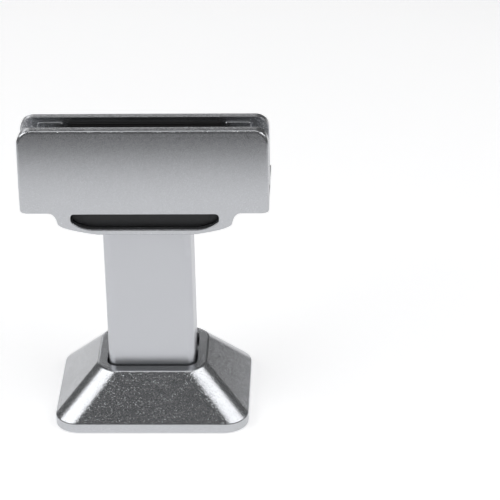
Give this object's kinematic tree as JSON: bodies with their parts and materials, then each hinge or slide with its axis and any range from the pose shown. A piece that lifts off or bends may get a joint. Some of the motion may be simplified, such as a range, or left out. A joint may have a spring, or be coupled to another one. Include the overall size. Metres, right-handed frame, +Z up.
{
  "type": "pedestal panel clamp",
  "caption": "Short pedestal with a flared base cover, a rectangular column and a two-jaw clamp that holds a panel on edge.",
  "frame": {"origin": "middle of the mat's underside, the face it stands on", "axes": "+X along the jaws, -Y towards the fixed front jaw, +Z up the column"},
  "size_m": [0.1244, 0.0776, 0.1621],
  "materials": {
    "painted_casting": "metallic silver paint, satin",
    "anodised_column": "satin anodised",
    "bright_steel": "bright turned",
    "zinc_steel": "zinc plated",
    "black_nylon": "matte",
    "black_rubber": "matte"
  },
  "bodies": {
    "stand": {"front_jaw_bracket": "painted_casting", "slot_insert": "black_nylon", "spacer_sleeve_left": "bright_steel", "spacer_sleeve_right": "bright_steel", "front_jaw_pad_middle": "black_rubber", "front_jaw_pad_left": "black_rubber", "front_jaw_pad_right": "black_rubber", "head_collar": "black_nylon", "column_tube": "anodised_column", "foot_plug": "black_nylon", "tie_bolt_left": "zinc_steel", "tie_bolt_right": "zinc_steel", "base_plate": "zinc_steel", "base_mat": "black_rubber"},
    "sliding_jaw": {"rear_jaw": "painted_casting", "rear_jaw_pad": "black_rubber", "lock_washer_left": "bright_steel", "lock_washer_right": "bright_steel"},
    "screw_left": {"clamp_screw_left": "bright_steel"},
    "screw_right": {"clamp_screw_right": "bright_steel"},
    "cover": {"base_cover": "painted_casting"}
  },
  "joints": [
    {"name": "rear_jaw_slide", "type": "slide", "parent": "stand", "child": "sliding_jaw", "axis": [0, 1, 0], "range_m": [0, 0.003]},
    {"name": "clamp_screw_left_turn", "type": "hinge", "parent": "sliding_jaw", "child": "screw_left", "pos_m": [-0.0468, 0, 0.147], "axis": [0, 1, 0], "range_deg": [0, 1351]},
    {"name": "clamp_screw_right_turn", "type": "hinge", "parent": "sliding_jaw", "child": "screw_right", "pos_m": [0.0468, 0, 0.147], "axis": [0, 1, 0], "range_deg": [0, 1351]},
    {"name": "base_cover_slide", "type": "slide", "parent": "stand", "child": "cover", "axis": [0, 0, 1], "range_m": [0, 0.078]}
  ],
  "couplings": [
    {"joint": "clamp_screw_left_turn", "follows": "rear_jaw_slide", "rad_per_m": 7854},
    {"joint": "clamp_screw_right_turn", "follows": "rear_jaw_slide", "rad_per_m": 7854}
  ]
}
